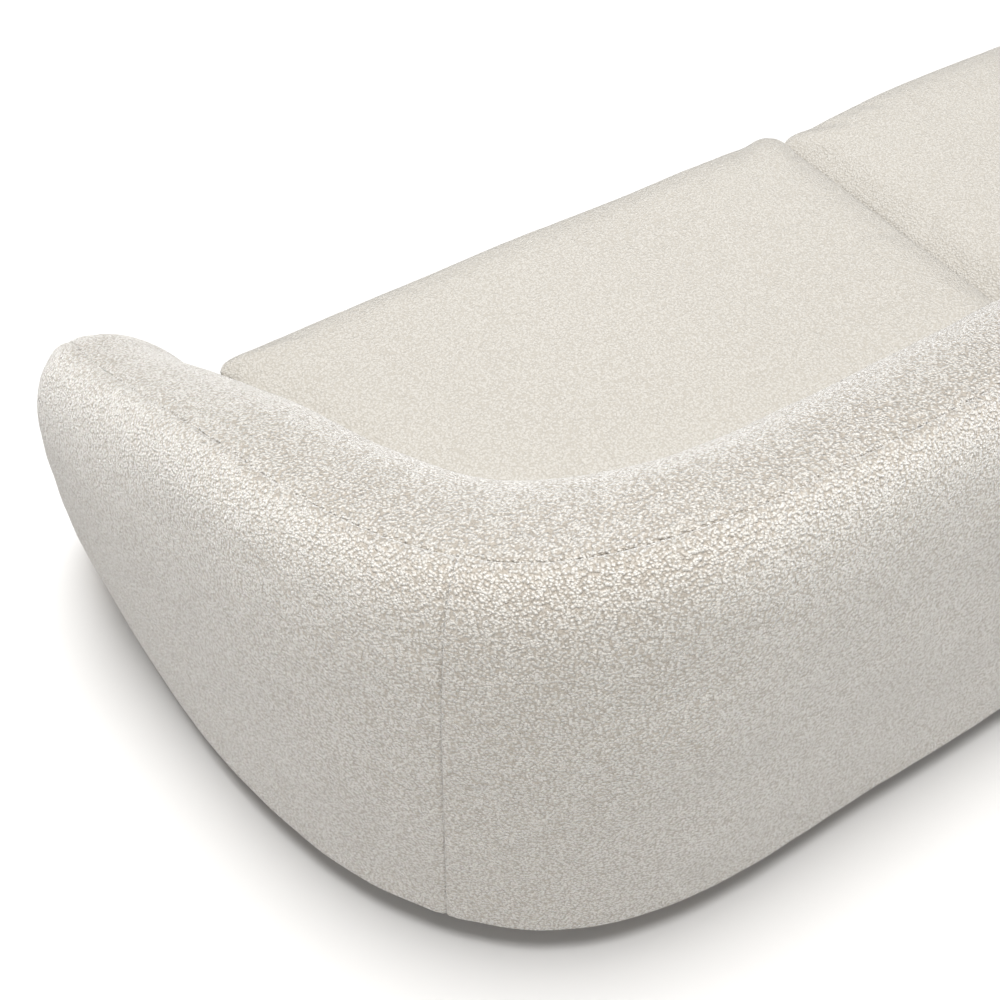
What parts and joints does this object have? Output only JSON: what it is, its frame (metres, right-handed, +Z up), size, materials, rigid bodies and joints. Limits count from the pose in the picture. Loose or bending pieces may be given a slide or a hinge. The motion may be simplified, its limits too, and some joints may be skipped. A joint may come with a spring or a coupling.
{
  "type": "curved sofa with loose seat cushions and wooden legs",
  "caption": "Low curved sofa: one rounded shell forms back and arms round two loose flat seat cushions, in cream boucle, on short tapered wooden legs.",
  "frame": {"origin": "on the floor, at the centre of the sofa's plan", "axes": "+Z up; the sitter faces -Y, so the back is at +Y; +X runs along the sofa to the sitter's left-hand arm"},
  "size_m": [2.5892, 1.0759, 0.7349],
  "materials": {
    "boucle": "cream boucle weave",
    "foam": "open-cell foam and polyester wadding",
    "lining_cloth": "black non-woven lining",
    "felt": "pressed felt",
    "leg_wood": "oiled walnut-coloured beech",
    "frame_timber": "planed pine",
    "plywood": "birch plywood",
    "hardboard": "thin bending board",
    "zinc_steel": "zinc plated",
    "spring_steel": "dark spring wire",
    "clip_plastic": "moulded nylon"
  },
  "bodies": {
    "shell": {"arm_former_left": "plywood", "arm_former_right": "plywood", "arm_front_left": "plywood", "arm_front_right": "plywood", "back_former_left": "plywood", "back_former_right": "plywood", "base_board_back": "plywood", "base_board_left": "plywood", "base_board_right": "plywood", "centre_leg_block": "frame_timber", "centre_rail": "frame_timber", "corner_former_left": "plywood", "corner_former_right": "plywood", "crest_rail_back": "plywood", "crest_rail_left": "plywood", "crest_rail_right": "plywood", "deck_cloth": "lining_cloth", "dust_cover": "lining_cloth", "frame_battens": "frame_timber", "front_band_cover": "boucle", "front_rail": "frame_timber", "inner_board_back": "hardboard", "inner_board_left": "hardboard", "inner_board_right": "hardboard", "inner_foam_back": "foam", "inner_foam_left": "foam", "inner_foam_right": "foam", "inside_arm_cover_left": "boucle", "inside_arm_cover_right": "boucle", "inside_back_cover": "boucle", "leg_bolts": "zinc_steel", "leg_centre_front": "leg_wood", "leg_centre_rear": "leg_wood", "leg_front_left": "leg_wood", "leg_front_right": "leg_wood", "leg_glides": "felt", "leg_plate_screws": "zinc_steel", "leg_plates": "zinc_steel", "leg_rear_left": "leg_wood", "leg_rear_right": "leg_wood", "nose_foam_left": "foam", "nose_foam_right": "foam", "outer_board_back": "hardboard", "outer_board_left": "hardboard", "outer_board_right": "hardboard", "outer_padding_back": "foam", "outer_padding_left": "foam", "outer_padding_right": "foam", "outside_arm_cover_left": "boucle", "outside_arm_cover_right": "boucle", "outside_back_cover": "boucle", "rear_rail": "frame_timber", "seat_springs": "spring_steel", "side_rail_left": "frame_timber", "side_rail_right": "frame_timber", "spring_clips": "clip_plastic"},
    "cushion_left": {"seat_cushion_core_left": "foam", "seat_cushion_cover_left": "boucle"},
    "cushion_right": {"seat_cushion_core_right": "foam", "seat_cushion_cover_right": "boucle"}
  },
  "joints": [
    {"name": "cushion_left_lift", "type": "slide", "parent": "shell", "child": "cushion_left", "axis": [0, 0, 1], "range_m": [0, 0.3]},
    {"name": "cushion_right_lift", "type": "slide", "parent": "shell", "child": "cushion_right", "axis": [0, 0, 1], "range_m": [0, 0.3]}
  ]
}
